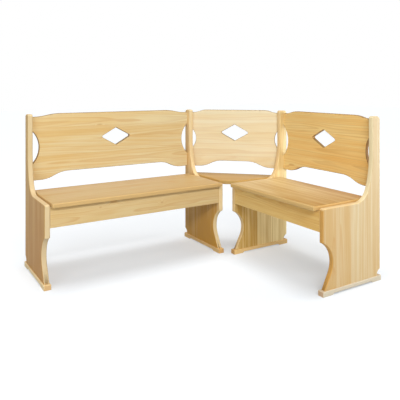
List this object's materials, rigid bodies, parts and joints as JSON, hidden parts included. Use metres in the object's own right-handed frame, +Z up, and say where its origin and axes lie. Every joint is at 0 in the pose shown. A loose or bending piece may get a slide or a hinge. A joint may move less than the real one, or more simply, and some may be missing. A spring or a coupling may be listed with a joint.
{
  "type": "corner bench",
  "caption": "Pine corner bench: a long and a short bench at a right angle, joined by a diagonal corner seat and backrest, with diamond cut-outs and end panels on runners.",
  "frame": {"origin": "on the floor, under the middle of the whole bench's rectangle seen from above", "axes": "+X along the long bench from its free end towards the corner, +Y towards the long bench's back, +Z up; the short bench runs towards -Y with its back to +X"},
  "size_m": [1.6234, 1.2934, 0.91],
  "materials": {
    "panel_pine": "satin lacquer",
    "runner_pine": "satin lacquer",
    "seat_pine": "satin lacquer",
    "backrest_pine": "satin lacquer",
    "apron_pine": "satin lacquer",
    "hidden_pine": "planed, unlacquered",
    "dowel_beech": "planed, unlacquered",
    "screw_steel": "zinc-plated"
  },
  "bodies": {
    "root": {"long_outer_panel": "panel_pine", "long_corner_panel": "panel_pine", "short_corner_panel": "panel_pine", "short_outer_panel": "panel_pine", "long_outer_runner": "runner_pine", "long_corner_runner": "runner_pine", "short_corner_runner": "runner_pine", "short_outer_runner": "runner_pine", "long_seat": "seat_pine", "short_seat": "seat_pine", "corner_seat": "seat_pine", "long_backrest": "backrest_pine", "short_backrest": "backrest_pine", "corner_backrest": "backrest_pine", "long_apron": "apron_pine", "short_apron": "apron_pine", "long_rear_rail": "hidden_pine", "short_rear_rail": "hidden_pine", "long_outer_cleat": "hidden_pine", "long_corner_cleat": "hidden_pine", "short_corner_cleat": "hidden_pine", "short_outer_cleat": "hidden_pine", "corner_left_cleat": "hidden_pine", "corner_right_cleat": "hidden_pine", "backrest_dowels": "dowel_beech", "rail_dowels": "dowel_beech", "cleat_screws": "screw_steel", "seat_screws": "screw_steel", "runner_screws": "screw_steel"}
  },
  "joints": []
}
